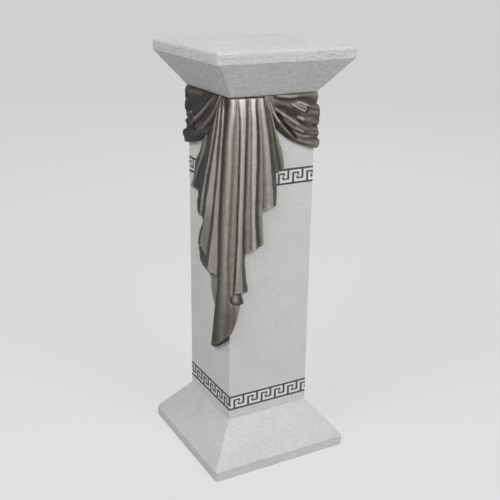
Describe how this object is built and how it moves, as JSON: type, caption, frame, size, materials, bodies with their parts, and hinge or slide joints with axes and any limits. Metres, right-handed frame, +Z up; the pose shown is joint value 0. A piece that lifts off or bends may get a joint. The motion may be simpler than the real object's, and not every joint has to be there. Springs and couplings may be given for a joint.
{
  "type": "pedestal column stand",
  "caption": "Square plaster pedestal column with flared capital and base, key-pattern bands and a silver cast drape over one corner.",
  "frame": {"origin": "on the floor at the middle of the base", "axes": "+Z up, -Y out of the front face; the drape's tail hangs over the corner between -X and -Y"},
  "size_m": [0.288, 0.288, 0.8],
  "materials": {
    "plaster": "matte",
    "bedding": "matte",
    "key_band": "matte",
    "drape": "satin"
  },
  "bodies": {
    "root": {"base": "plaster", "shaft": "plaster", "capital": "plaster", "base_bed": "bedding", "capital_bed": "bedding", "lower_key_front": "key_band", "lower_key_right": "key_band", "lower_key_back": "key_band", "lower_key_left": "key_band", "upper_key_front": "key_band", "upper_key_right": "key_band", "upper_key_back": "key_band", "upper_key_left": "key_band", "drape_tail": "drape", "drape_swag_right": "drape", "drape_swag_left": "drape"}
  },
  "joints": []
}
